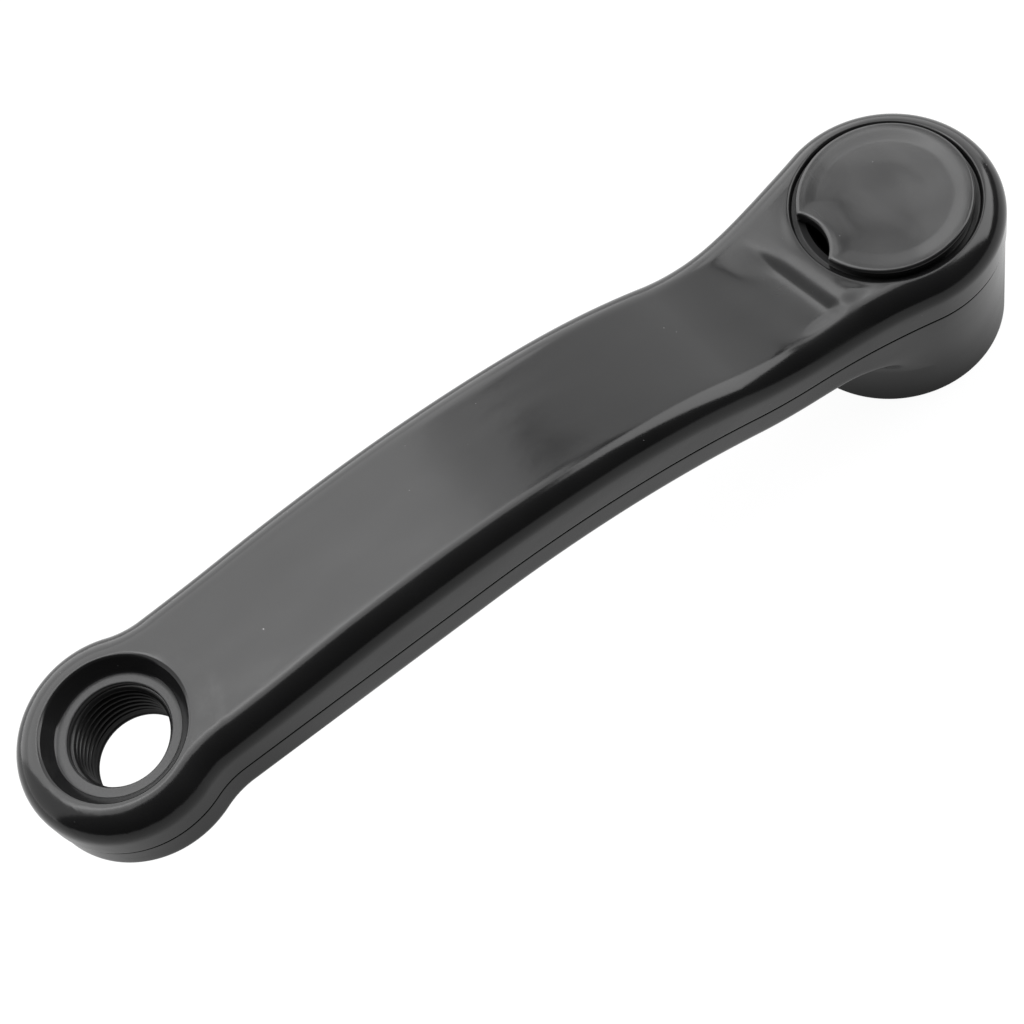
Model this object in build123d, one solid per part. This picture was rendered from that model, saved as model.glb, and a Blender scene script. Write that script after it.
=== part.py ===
from build123d import *
from math import acos, cos, degrees, radians, sin
import os

# Left-hand bicycle crank arm with its push-in dust cap.
# Frame: the origin is on the spindle axis, in the back face of the boss that meets the frame side.
# +Z points away from the bicycle, +X runs along the arm to the pedal axis. All sizes in millimetres.

# Plan of the arm, seen along the spindle
CRANK_LENGTH = 127.0        # spindle axis to pedal axis
ARM_HALF_WIDTH = 12.4
EYE_SWELL = 2.1             # the pedal eye stands out this far past the arm's sides
HEAD_WALL = 3.5             # metal round the dust cap's recess
HEAD_FLARE_RADIUS = 120.0   # hollow curve from the arm's side into the head
EYE_FLARE_RADIUS = 12.0     # hollow curve from the arm's side into the pedal eye

# Heights. The parting line is where the two die halves of the forging meet.
HEAD_HEIGHT = 28.0          # back face to the flat round the dust cap
HEAD_FACE_DEPTH = 7.9       # head's flat down to the parting line
ARM_RISE = 9.6              # how far the parting line climbs from head to pedal
EYE_FACE_DEPTH = 7.2        # rim of the pedal eye down to the parting line
CREST_SWELL = 1.8           # highest line of the outer face above the pedal eye's rim
LOWER_DEPTH = 5.5           # parting line down to the underside

# Side view of the parting line and the underside: two arcs between level runs
RISE_START = 23.0           # from the spindle axis
RISE_FOOT_RADIUS = 30.0
RISE_TOP_RADIUS = 128.0

# Side view of the outer face: step, ramp, three arcs up to the crest, two down to the pedal eye
STEP_X = 18.3               # lowest line of the step, from the spindle axis
STEP_DROP = 1.6             # below the head's flat
STEP_RADIUS = 6.0           # of the step's brow and of its hollow
RAMP_ANGLE = 10.0           # how steeply the arm's face leaves the step, in degrees
RAMP_LENGTH = 7.6
FACE_HOLLOW_RADIUS = 32.0
FACE_SHOULDER_RADIUS = 85.0
FACE_CREST_RADIUS = 165.0
SHOULDER_ANGLE = 10.0       # slope where the shoulder's arc meets the crest's, in degrees
FACE_END = 4.0              # the face is level again this far short of the pedal axis

# Parting line and rounded edges
PARTING_STEP = 0.15         # overhang of the outer die half
FACE_EDGE_RADIUS = 4.0
BACK_EDGE_RADIUS = 1.5
BOSS_FLARE_RADIUS = 6.5     # hollow curve from the boss into the underside
BOSS_CHAMFER = 0.6

# Spindle side: square taper socket, extractor bore and the recess of the dust cap
SOCKET_FLATS = 13.75        # across flats at the back face
SOCKET_TAPER = 2.0          # degrees on each side
SOCKET_CORNER = 1.6
SOCKET_CHAMFER = 0.5
EXTRACTOR_DIAMETER = 21.0   # crest diameter of the M22 x 1 extractor thread
EXTRACTOR_DEPTH = 12.0      # head's flat down to the bore's floor
RECESS_DEPTH = 1.0
RECESS_EDGE = 0.5           # broken edge of the recess

# Pedal side: 9/16 inch left-hand thread, drawn at its crest diameter
PEDAL_CREST_DIAMETER = 13.1
PEDAL_LEAD = 0.45           # chamfer at both ends of the thread
LAND_WIDTH = 1.5            # flat ring that the pedal axle's collar bears on
DISH_SPREAD = 1.5           # how far the dish's wall leans out
DISH_DEPTH = 2.2
DISH_EDGE = 0.4

# Dust cap
CAP_CLEARANCE = 0.75        # round the flange, in the recess
CAP_FLANGE = 2.0            # the flange stands out this far past the skirt
CAP_PROUD = 1.0             # top of the cap above the head's flat
CAP_EDGE = 0.5              # bevel round the cap's top
SKIRT_CLEARANCE = 0.15      # round the skirt, in the extractor bore
SKIRT_WALL = 1.3
SKIRT_LENGTH = 5.0
NOTCH_RADIUS = 6.2          # bite in the flange for prising the cap out
NOTCH_DEPTH = 2.55          # how far the bite reaches in from the cap's edge
NOTCH_ANGLE = -9.4          # from the arm's direction, in the plan

# Worked-out values
SKIRT_RADIUS = EXTRACTOR_DIAMETER / 2 - SKIRT_CLEARANCE
CAP_RADIUS = SKIRT_RADIUS + CAP_FLANGE
RECESS_RADIUS = CAP_RADIUS + CAP_CLEARANCE
RECESS_FLOOR = HEAD_HEIGHT - RECESS_DEPTH
BORE_FLOOR = HEAD_HEIGHT - EXTRACTOR_DEPTH
HEAD_RADIUS = RECESS_RADIUS + HEAD_WALL
EYE_RADIUS = ARM_HALF_WIDTH + EYE_SWELL
HEAD_PARTING = HEAD_HEIGHT - HEAD_FACE_DEPTH
EYE_PARTING = HEAD_PARTING + ARM_RISE
EYE_HEIGHT = EYE_PARTING + EYE_FACE_DEPTH
CREST_HEIGHT = EYE_HEIGHT + CREST_SWELL
EYE_BACK = EYE_PARTING - LOWER_DEPTH
UNDERSIDE = HEAD_PARTING - LOWER_DEPTH
BOSS_RADIUS = HEAD_RADIUS - PARTING_STEP
MARGIN = 5.0                # how far cutting shapes reach past the solid
FIRST_X = -HEAD_RADIUS - MARGIN
LAST_X = CRANK_LENGTH + EYE_RADIUS + MARGIN
PEDAL_AXIS = Pos(CRANK_LENGTH, 0, 0)


def plan_outline(inset):
    """Head, arm and pedal eye in one outline, with the hollow flares between them."""
    arm = Pos(CRANK_LENGTH / 2, 0) * Rectangle(CRANK_LENGTH, 2 * (ARM_HALF_WIDTH - inset))
    outline = Circle(HEAD_RADIUS - inset) + arm + PEDAL_AXIS * Circle(EYE_RADIUS - inset)
    corners = outline.vertices().sort_by(Axis.X)
    eye_corners = [tuple(corner) for corner in corners[2:]]
    outline = fillet(corners[:2], HEAD_FLARE_RADIUS + inset)
    at_eye = [outline.vertices().sort_by_distance(corner)[0] for corner in eye_corners]
    return fillet(at_eye, EYE_FLARE_RADIUS + inset)


def level(x_from, x_to, height):
    return Line((x_from, height), (x_to, height))


def bend(line, radius, degrees_up):
    """An arc that carries on from the end of a line and turns it up, or down if negative."""
    return JernArc(line @ 1, line % 1, radius, degrees_up)


def climbing_line(drop):
    """The parting line in side view, moved down by drop."""
    turn = degrees(acos(1 - ARM_RISE / (RISE_FOOT_RADIUS + RISE_TOP_RADIUS)))
    head = level(FIRST_X, RISE_START, HEAD_PARTING - drop)
    foot = bend(head, RISE_FOOT_RADIUS, turn)
    top = bend(foot, RISE_TOP_RADIUS, -turn)
    return [head, foot, top, level((top @ 1).X, LAST_X, EYE_PARTING - drop)]


def face_line():
    """The outer face in side view: head, step, ramp, rise to the crest and fall to the pedal eye."""
    step_turn = acos(1 - STEP_DROP / (2 * STEP_RADIUS))
    head = level(FIRST_X, STEP_X - 2 * STEP_RADIUS * sin(step_turn), HEAD_HEIGHT)
    brow = bend(head, STEP_RADIUS, -degrees(step_turn))
    foot = bend(brow, STEP_RADIUS, degrees(step_turn) + RAMP_ANGLE)
    ramp = Line(foot @ 1, foot @ 1 + (foot % 1) * RAMP_LENGTH)

    # The steepest slope of the rise is the one that brings the three arcs out at the crest
    climb = CREST_HEIGHT - (ramp @ 1).Y
    at_ramp, at_shoulder = cos(radians(RAMP_ANGLE)), cos(radians(SHOULDER_ANGLE))
    steepest = degrees(acos(
        (FACE_HOLLOW_RADIUS * at_ramp + FACE_SHOULDER_RADIUS * at_shoulder
         + FACE_CREST_RADIUS * (1 - at_shoulder) - climb)
        / (FACE_HOLLOW_RADIUS + FACE_SHOULDER_RADIUS)))
    hollow = bend(ramp, FACE_HOLLOW_RADIUS, steepest - RAMP_ANGLE)
    shoulder = bend(hollow, FACE_SHOULDER_RADIUS, SHOULDER_ANGLE - steepest)
    crest = bend(shoulder, FACE_CREST_RADIUS, -SHOULDER_ANGLE)

    run = CRANK_LENGTH - FACE_END - (crest @ 1).X
    fall_radius = (run ** 2 + CREST_SWELL ** 2) / (4 * CREST_SWELL)
    fall_turn = degrees(acos(1 - CREST_SWELL / (2 * fall_radius)))
    fall = bend(crest, fall_radius, -fall_turn)
    landing = bend(fall, fall_radius, fall_turn)
    eye = level((landing @ 1).X, LAST_X, EYE_HEIGHT)
    return [head, brow, foot, ramp, hollow, shoulder, crest, fall, landing, eye]


def slab(lower_line, upper_line):
    """Everything between two side-view lines, wider than the arm."""
    ends = [Line(low @ end, high @ end) for low, high, end in (
        (lower_line[0], upper_line[0], 0), (lower_line[-1], upper_line[-1], 1))]
    face = make_face(Wire(lower_line + upper_line + ends).edges())
    reach = HEAD_RADIUS + EYE_RADIUS
    return extrude(Plane.XZ.offset(-reach) * face, amount=2 * reach)


def outer_half(outline):
    """The die half that shapes the outer face, with a well rounded edge."""
    walls = extrude(outline, amount=CREST_HEIGHT + MARGIN)
    half = walls & slab(climbing_line(0), face_line())
    rim = half.edges().filter_by(lambda edge: is_rim(edge, half, upward=True))
    return fillet(rim, FACE_EDGE_RADIUS)


def inner_half(outline):
    """The die half towards the frame, with a lightly rounded underside."""
    walls = extrude(outline, amount=CREST_HEIGHT + MARGIN)
    half = walls & slab(climbing_line(LOWER_DEPTH), climbing_line(0))
    rim = half.edges().filter_by(lambda edge: is_rim(edge, half, upward=False))
    return fillet(rim, BACK_EDGE_RADIUS)


def is_rim(edge, half, upward):
    """True for an edge between a wall and the outer face (or the underside)."""
    direction = 1 if upward else -1
    sides = [face for face in half.faces() if any(edge.is_same(other) for other in face.edges())]
    tilts = sorted(abs(face.normal_at(edge @ 0.5).Z) for face in sides)
    faces_right_way = any(direction * face.normal_at(edge @ 0.5).Z > 0.5 for face in sides)
    return tilts[0] < 0.2 and faces_right_way


def boss(outline):
    """The boss round the spindle socket, flaring into the underside."""
    drum = extrude(Circle(BOSS_RADIUS), amount=HEAD_PARTING)
    drum = chamfer(drum.edges().group_by(Axis.Z)[0], BOSS_CHAMFER)
    flare_foot = UNDERSIDE - BOSS_FLARE_RADIUS
    flare_edge = BOSS_RADIUS + BOSS_FLARE_RADIUS
    hollow = CenterArc((flare_edge, flare_foot), BOSS_FLARE_RADIUS, 180, -90)
    rest = Polyline(
        (flare_edge, UNDERSIDE), (flare_edge, HEAD_PARTING), (0, HEAD_PARTING),
        (0, flare_foot), (BOSS_RADIUS, flare_foot))
    section = Plane.XZ * make_face(hollow.edges() + rest.edges())
    flare = revolve(section, Axis.Z) & extrude(outline, amount=HEAD_PARTING)
    return drum + flare


def spindle_side_cuts():
    """Square taper socket, extractor bore and the recess that takes the dust cap."""
    square = RectangleRounded(SOCKET_FLATS, SOCKET_FLATS, SOCKET_CORNER)
    socket = extrude(square, amount=BORE_FLOOR, taper=SOCKET_TAPER)
    mouth_size = SOCKET_FLATS + 2 * SOCKET_CHAMFER
    mouth = extrude(
        RectangleRounded(mouth_size, mouth_size, SOCKET_CORNER + SOCKET_CHAMFER),
        amount=SOCKET_CHAMFER, taper=45)
    bore = Pos(0, 0, BORE_FLOOR) * extrude(
        Circle(EXTRACTOR_DIAMETER / 2), amount=EXTRACTOR_DEPTH + MARGIN)
    recess = Pos(0, 0, RECESS_FLOOR) * extrude(Circle(RECESS_RADIUS), amount=RECESS_DEPTH + MARGIN)
    edge = Pos(0, 0, HEAD_HEIGHT - RECESS_EDGE) * extrude(
        Circle(RECESS_RADIUS), amount=2 * RECESS_EDGE, taper=-45)
    return [socket, mouth, bore, recess, edge]


def pedal_side_cuts():
    """The dished seat of the pedal axle and the threaded hole below it."""
    crest = PEDAL_CREST_DIAMETER / 2
    start = crest + PEDAL_LEAD
    seat = start + LAND_WIDTH
    mouth = seat + DISH_SPREAD
    land = EYE_HEIGHT - DISH_DEPTH
    below, above = EYE_BACK - MARGIN, EYE_HEIGHT + MARGIN
    profile = Polyline(
        (0, below), (start + MARGIN, below), (start, EYE_BACK), (crest, EYE_BACK + PEDAL_LEAD),
        (crest, land - PEDAL_LEAD), (start, land), (seat, land),
        (mouth, EYE_HEIGHT - DISH_EDGE), (mouth + DISH_EDGE, EYE_HEIGHT),
        (mouth + DISH_EDGE + MARGIN, above), (0, above), close=True)
    section = Plane.XZ * make_face(profile)
    return [PEDAL_AXIS * revolve(section, Axis.Z)]


def crank_arm():
    inner_outline = plan_outline(PARTING_STEP)
    arm = outer_half(plan_outline(0)) + inner_half(inner_outline) + boss(inner_outline)
    for cut in spindle_side_cuts() + pedal_side_cuts():
        arm = arm - cut
    return arm


def dust_cap():
    """A flanged lid with a skirt that pushes into the extractor bore."""
    top = HEAD_HEIGHT + CAP_PROUD
    skirt_inner = SKIRT_RADIUS - SKIRT_WALL
    skirt_end = RECESS_FLOOR - SKIRT_LENGTH
    profile = Polyline(
        (0, top), (CAP_RADIUS - CAP_EDGE, top), (CAP_RADIUS, top - CAP_EDGE),
        (CAP_RADIUS, RECESS_FLOOR), (SKIRT_RADIUS, RECESS_FLOOR), (SKIRT_RADIUS, skirt_end),
        (skirt_inner, skirt_end), (skirt_inner, RECESS_FLOOR), (0, RECESS_FLOOR), close=True)
    cap = revolve(Plane.XZ * make_face(profile), Axis.Z)
    reach = CAP_RADIUS - NOTCH_DEPTH + NOTCH_RADIUS
    notch_place = Rot(0, 0, NOTCH_ANGLE) * Pos(reach, 0, RECESS_FLOOR)
    return cap - notch_place * extrude(Circle(NOTCH_RADIUS), amount=top - RECESS_FLOOR + MARGIN)


os.makedirs("parts", exist_ok=True)
export_step(crank_arm(), "parts/crank_arm.step")
export_step(dust_cap(), "parts/dust_cap.step")
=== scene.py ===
from math import acos, asin, atan2, cos, pi, radians, sin, sqrt, tan
import bmesh
import bpy
import numpy as np
from mathutils import Matrix, Vector


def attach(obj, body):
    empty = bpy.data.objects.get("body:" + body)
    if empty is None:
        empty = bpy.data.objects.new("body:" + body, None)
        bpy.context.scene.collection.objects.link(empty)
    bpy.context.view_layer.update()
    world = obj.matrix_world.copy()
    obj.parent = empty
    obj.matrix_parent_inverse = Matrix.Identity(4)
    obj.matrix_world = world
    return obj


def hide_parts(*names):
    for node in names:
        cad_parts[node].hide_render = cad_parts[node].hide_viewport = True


# Left-hand bicycle crank arm with its dust cap, in gloss black, on a white studio floor.
# Shapes are worked out in millimetres in the part's own frame and become metres in the mesh.
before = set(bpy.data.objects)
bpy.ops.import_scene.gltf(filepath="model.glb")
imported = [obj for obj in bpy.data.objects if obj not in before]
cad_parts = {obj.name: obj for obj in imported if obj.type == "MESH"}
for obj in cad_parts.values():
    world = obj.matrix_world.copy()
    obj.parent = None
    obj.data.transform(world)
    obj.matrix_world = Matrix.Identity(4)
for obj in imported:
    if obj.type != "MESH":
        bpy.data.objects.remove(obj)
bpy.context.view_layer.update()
MM = 0.001
WELD = 2e-6

# Plan of the arm, seen along the spindle
CRANK_LENGTH = 127.0
ARM_HALF_WIDTH = 12.4
HEAD_RADIUS = 16.6
EYE_RADIUS = 14.5
HEAD_FLARE_RADIUS = 120.0
EYE_FLARE_RADIUS = 12.0

# Side view: parting line, outer face and underside
HEAD_HEIGHT = 28.0
HEAD_PARTING = 20.1
ARM_RISE = 9.6
EYE_HEIGHT = 36.9
CREST_HEIGHT = 38.7
LOWER_DEPTH = 5.5
RISE_START = 23.0
RISE_FOOT_RADIUS = 30.0
RISE_TOP_RADIUS = 128.0
RAMP_ANGLE = radians(10.0)
RAMP_HOLLOW_RADIUS = 22.0
RAMP_FOOT_ANGLE = radians(13.0)
RAMP_FOOT_RUN = 0.8
RAMP_EASE_RADIUS = 40.0
RAMP_END = 26.8
FACE_HOLLOW_RADIUS = 32.0
FACE_SHOULDER_RADIUS = 85.0
FACE_CREST_RADIUS = 165.0
SHOULDER_ANGLE = radians(10.0)
FACE_END = 4.0

# Step below the head: its side view, its slant, and how it fades towards the edges, the ring and the ramp
STEP_X = 18.5
STEP_DROP = 1.6
STEP_BROW_RADIUS = 4.0
STEP_FOOT_RADIUS = 2.0
STEP_SKEW = 0.15
STEP_FULL = 4.0
STEP_REACH = 9.8
STEP_NEAR_END = 7.6, 10.4
STEP_FAR_END = -1.0, -10.0
STEP_RING_FADE = 1.2
STEP_RAMP_FADE = 6.0
STEP_WALL_START = 1.0
BRINK_START = 8.0
BRINK_END = 26.7

# Edges
FACE_EDGE_RADIUS = 4.0
BACK_EDGE_RADIUS = 1.5
BACK_EDGE_GROWTH = 9.0
PARTING_STEP = 0.15
BOSS_RADIUS = HEAD_RADIUS - PARTING_STEP
BOSS_FLARE_RADIUS = 6.5
BOSS_EDGE = 0.6
UNDERSIDE = HEAD_PARTING - LOWER_DEPTH
FLARE_FOOT = UNDERSIDE - BOSS_FLARE_RADIUS
FLARE_EDGE = BOSS_RADIUS + BOSS_FLARE_RADIUS

# Groove of the parting line: depth into the wall and height about the line
SEAM = [
    (0.0, 0.50), (0.0, 0.33), (0.03, 0.28), (0.28, 0.13), (0.38, 0.02), (0.38, -0.07), (0.29, -0.21),
    (0.17, -0.35), (PARTING_STEP, -0.39), (PARTING_STEP, -0.55)]

# Places where the boss's flare meets the arm's lower edge, eased like a cast corner
SOFT_SPOTS = [(7.0, 16.0, 10.5), (7.0, -16.0, 10.5)]
SOFT_REACH = 6.5
SOFT_SHARES = 1.0, 0.9, 0.8, 0.7, 0.6, 0.5
SOFT_PASSES = 4
SOFT_FACTOR = 0.5

# Head: recess of the dust cap, extractor bore and square socket
RECESS_RADIUS = 13.1
RECESS_EDGE = 0.55
RECESS_FLOOR = 27.0
RECESS_CORNER = 0.15
LEDGE_MIDDLE = 12.2
EXTRACTOR_ROOT = 11.0
EXTRACTOR_CREST = 10.5
EXTRACTOR_PITCH = 1.0
EXTRACTOR_TURNS = 9.4
EXTRACTOR_START = 0.7
BORE_CHAMFER = 0.3
BORE_GUARDS = 0.05, 0.1
BORE_FLOOR = 16.0
BORE_FLOOR_MIDDLE = 9.5
SOCKET_HALF = 6.875
SOCKET_CORNER = 1.6
SOCKET_CHAMFER = 0.5
SOCKET_TAPER = radians(2.0)
BACK_FACE_RINGS = 11.5, 14.5
BOSS_WALL_RINGS = 0.8, 4.0, FLARE_FOOT
HEAD_RING = RECESS_RADIUS + RECESS_EDGE
HEAD_CHORD_X = 23.4

# Pedal eye: dish, land and threaded hole
DISH_TOP_RADIUS = 10.52
DISH_EDGE = 0.7
DISH_WALL_SLOPE = radians(50.0)
LAND_RADIUS = 8.5
LAND_HEIGHT = 34.7
LAND_FILLET = 1.0
LAND_RING = 0.25
MOUTH_CHAMFER = 0.1, 0.06
THREAD_ROOT = 7.14
THREAD_CREST = 6.55
THREAD_PITCH = 1.27
THREAD_LEAD = 0.1
THREAD_TURNS = 7.1
THREAD_START = 1.0
THREAD_WALL_TOP = 0.5
THREAD_WALL_END = 0.9
NECK_RADIUS = THREAD_CREST + 0.05
NECK_TOP = 0.6
NECK_CHAMFER = 0.2
EYE_BACK = HEAD_PARTING + ARM_RISE - LOWER_DEPTH
EYE_RING = DISH_TOP_RADIUS + 0.05
EYE_CHORD_X = 108.0

# Dust cap; its dished top is given as (radius, depth) and then as (inset from the bitten rim, depth)
CAP_RADIUS = 12.35
CAP_TOP = 29.0
CAP_EDGE = 0.5
CAP_DISH = [(0.0, 0.46), (1.5, 0.458), (3.0, 0.454), (4.5, 0.446), (5.5, 0.436), (6.4, 0.42)]
CAP_DISH_RIM = [
    (3.2, 0.31), (2.7, 0.25), (2.2, 0.18), (1.7, 0.10), (1.3, 0.045), (1.0, 0.015), (CAP_EDGE + 0.1, 0.0)]
CAP_SEAT_CHAMFER = 0.1
CAP_WALL_RING = 0.7
CAP_TILT = 0.025
SKIRT_RADIUS = 10.35
SKIRT_INNER = 9.05
SKIRT_END = 22.0
SKIRT_RING = 0.08
SKIRT_CHAMFER = 0.2
SKIRT_CORNER = 0.3
BITE_RADIUS = 6.2
BITE_REACH = 16.0
BITE_ANGLE = radians(-9.4)
BITE_LIP = 0.4

# Fineness of the meshes: stations round the outline, and steps along and across the surfaces
HEAD_STATIONS = 48
HEAD_FLARE_STEPS = 10, 38, 20
ARM_STEPS = 72, 10
EYE_FLARE_STEPS = 10, 6
EYE_STATIONS = 56
CHORD_STEPS = 14
EDGE_STEPS = 14
OUTER_WALL_STEPS = 5
INNER_WALL_STEPS = 6
UNDER_EDGE_STEPS = 7
HEAD_FACE_STEPS = 26
BOSS_FLARE_STEPS = 13
EYE_FACE_STEPS = 10
EYE_UNDER_STEPS = 8
SOCKET_STEPS = 5
THREAD_WALL_STEPS = 3
THREAD_STEPS = 72
CAP_COLUMNS = 320

# Zones of the paint, each from where it starts to where it is full
# The dead black ledge and bore under the dust cap are painted shade, for the shade of the gap under the cap
PAINTED_SHADE_LEDGE_RADIUS = 12.4, 12.1
PAINTED_SHADE_LEDGE_TOP = RECESS_FLOOR + 0.8, RECESS_FLOOR + 0.5
PAINTED_SHADE_BORE_FOOT = 10.0, BORE_FLOOR
DULL_STEP_START = 12.0, 15.0
DULL_STEP_END = 25.0, 20.0

# Studio, in metres: floor and lights
FLOOR_HALF = 15.0
FLOOR_DROP = 0.0001
FLOOR_GLOW = 0.96
ARM_MIDDLE_X = 0.06
CEILING_X = 0.1
CEILING_HEIGHT = 1.6
CEILING_WIDTH = 1.6

# Camera: lens and sensor as Blender gives them, place and directions in the part's frame
CAMERA_LENS = 74.55
CAMERA_SENSOR = 36.0
CAMERA_CLIP = 0.01
CAMERA_PLACE = 101.16, 136.13, 278.56
CAMERA_RIGHT = -0.7981, 0.5702, -0.1945
CAMERA_AHEAD = -0.1157, -0.4618, -0.8794


class SideLine:
    """A line in side view: straight runs and arcs, each carrying on from the last."""

    def __init__(self, x, height):
        self.x, self.z, self.slope = x, height, 0.0
        self.first = height
        self.pieces = []

    def run(self, length):
        x, z, slope = self.x, self.z, tan(self.slope)
        self.x += length * cos(self.slope)
        self.z += length * sin(self.slope)
        self.pieces.append((x, self.x, lambda at: z + slope * (at - x)))
        return self

    def bend(self, radius, turn):
        side = 1 if turn > 0 else -1
        start = self.x
        cx = self.x - side * radius * sin(self.slope)
        cz = self.z + side * radius * cos(self.slope)
        self.slope += turn
        self.x = cx + side * radius * sin(self.slope)
        self.z = cz - side * radius * cos(self.slope)
        self.pieces.append((start, self.x, lambda at: cz - side * np.sqrt(radius ** 2 - (at - cx) ** 2)))
        return self

    def height(self, x):
        x = np.asarray(x, float)
        result = np.full(x.shape, self.first)
        for start, end, rule in self.pieces:
            result = np.where(x >= start, rule(np.clip(x, start, end)), result)
        return result


def parting_line():
    """The parting line, which climbs from the head to the eye in two arcs."""
    turn = acos(1 - ARM_RISE / (RISE_FOOT_RADIUS + RISE_TOP_RADIUS))
    return SideLine(RISE_START, HEAD_PARTING).bend(RISE_FOOT_RADIUS, turn).bend(RISE_TOP_RADIUS, -turn)


def face_line():
    """The middle of the outer face: step, ramp, climb to the crest and fall to the eye."""
    radii = STEP_BROW_RADIUS + STEP_FOOT_RADIUS
    step_turn = acos(1 - STEP_DROP / radii)
    line = SideLine(STEP_X - radii * sin(step_turn), HEAD_HEIGHT)
    line.bend(STEP_BROW_RADIUS, -step_turn).bend(STEP_FOOT_RADIUS, step_turn)
    line.bend(RAMP_HOLLOW_RADIUS, RAMP_FOOT_ANGLE).run(RAMP_FOOT_RUN)
    line.bend(RAMP_EASE_RADIUS, RAMP_ANGLE - RAMP_FOOT_ANGLE)
    line.run((RAMP_END - line.x) / cos(RAMP_ANGLE))
    climb = CREST_HEIGHT - line.z
    steepest = acos(
        (FACE_HOLLOW_RADIUS * cos(RAMP_ANGLE) + FACE_SHOULDER_RADIUS * cos(SHOULDER_ANGLE)
         + FACE_CREST_RADIUS * (1 - cos(SHOULDER_ANGLE)) - climb)
        / (FACE_HOLLOW_RADIUS + FACE_SHOULDER_RADIUS))
    line.bend(FACE_HOLLOW_RADIUS, steepest - RAMP_ANGLE)
    line.bend(FACE_SHOULDER_RADIUS, SHOULDER_ANGLE - steepest)
    line.bend(FACE_CREST_RADIUS, -SHOULDER_ANGLE)
    swell = CREST_HEIGHT - EYE_HEIGHT
    run = CRANK_LENGTH - FACE_END - line.x
    radius = (run ** 2 + swell ** 2) / (4 * swell)
    turn = acos(1 - swell / (2 * radius))
    return line.bend(radius, -turn).bend(radius, turn)


PARTING = parting_line()
FACE = face_line()


def smooth(value, start, end):
    """0 before start and 1 after end, smooth between them."""
    share = np.clip((value - start) / (end - start), 0, 1)
    return share * share * (3 - 2 * share)


def brink_height(x):
    """Height of the face along its edges, which pass the step in one shallow sweep."""
    end = float(FACE.height(BRINK_END))
    rise = tan(RAMP_ANGLE) * (BRINK_END - BRINK_START)
    share = np.clip((x - BRINK_START) / (BRINK_END - BRINK_START), 0, 1)
    sweep = HEAD_HEIGHT + (end - HEAD_HEIGHT) * share ** 2 * (3 - 2 * share) - rise * share ** 2 * (1 - share)
    return np.where(x < BRINK_END, sweep, FACE.height(x))


def face_height(plan):
    """Height of the outer face, where the step is straight and fades out before both edges."""
    x, y = plan[..., 0], plan[..., 1]
    brink = brink_height(x)
    return brink + smooth(np.abs(y), STEP_REACH, STEP_FULL) * (FACE.height(x) - brink)


def lean_step(points):
    """Gives the step its slant, takes it up to the near edge and lets it fade early towards the far one."""
    x, y, z = points.T
    top = face_height(points[:, :2])
    wall_top, wall_start = top - FACE_EDGE_RADIUS, PARTING.height(x) + STEP_WALL_START
    share = np.clip((z - wall_start) / (wall_top - wall_start), 0, 1)
    clear = smooth(np.hypot(x, y), HEAD_RING, HEAD_RING + STEP_RING_FADE)
    clear *= smooth(x, RAMP_END, RAMP_END - STEP_RAMP_FADE)
    slid = np.maximum(x + STEP_SKEW * y, 0)
    kept = smooth(y, STEP_NEAR_END[1], STEP_NEAR_END[0]) * smooth(y, STEP_FAR_END[1], STEP_FAR_END[0])
    brink = brink_height(x)
    leaned = brink + kept * (FACE.height(slid) - brink)
    points[:, 2] += share * clear * (leaned - top) * (x > 0)


def underside_height(plan):
    """Height of the underside, with the hollow flare round the boss."""
    away = np.hypot(plan[..., 0], plan[..., 1])
    gap = np.clip(FLARE_EDGE - away, 0, BOSS_FLARE_RADIUS)
    flare = FLARE_FOOT + np.sqrt(BOSS_FLARE_RADIUS ** 2 - gap ** 2)
    return np.where(away < FLARE_EDGE, flare, PARTING.height(plan[..., 0]) - LOWER_DEPTH)


class Skin:
    """Gathers grids of points in millimetres and welds them into one closed mesh."""

    def __init__(self):
        self.points, self.faces, self.count = [], [], 0

    def grid(self, rows):
        rows = np.asarray(rows, float)
        long, wide = rows.shape[:2]
        index = self.count + np.arange(long * wide).reshape(long, wide)
        quads = np.stack([index[:-1, :-1], index[1:, :-1], index[1:, 1:], index[:-1, 1:]], -1)
        self.points.append(rows.reshape(-1, 3))
        self.faces.extend(quads.reshape(-1, 4).tolist())
        self.count += long * wide

    def mirror(self):
        points = np.concatenate(self.points)
        self.points = [points, points * (1, -1, 1)]
        self.faces += [[corner + self.count for corner in reversed(face)] for face in self.faces]
        self.count *= 2

    def piece(self, name, soft_spots):
        mesh = bpy.data.meshes.new(name)
        mesh.from_pydata((np.concatenate(self.points) * MM).tolist(), [], self.faces)
        return finished(name, mesh, soft_spots)


def finished(name, mesh, soft_spots=()):
    """Welds a mesh, points its faces outwards, eases it round its soft spots, shades it and links it."""
    work = bmesh.new()
    work.from_mesh(mesh)
    bmesh.ops.remove_doubles(work, verts=work.verts, dist=WELD)
    bmesh.ops.dissolve_degenerate(work, dist=WELD, edges=work.edges)
    bmesh.ops.triangulate(work, faces=[face for face in work.faces if len(face.verts) > 4])
    bmesh.ops.recalc_face_normals(work, faces=work.faces)
    for place in soft_spots:
        ease(work, Vector(place))
    for face in work.faces:
        face.smooth = True
    work.to_mesh(mesh)
    work.free()
    shade_by_area(mesh)
    piece = bpy.data.objects.new(name, mesh)
    bpy.context.scene.collection.objects.link(piece)
    return piece


def ease(work, place):
    """Softens a mesh round a place in millimetres, in balls that shrink, so that the middle gets the most."""
    for share in SOFT_SHARES:
        near = [vert for vert in work.verts if (vert.co / MM - place).length < SOFT_REACH * share]
        for _ in range(SOFT_PASSES):
            bmesh.ops.smooth_vert(
                work, verts=near, factor=SOFT_FACTOR, use_axis_x=True, use_axis_y=True, use_axis_z=True)


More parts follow.
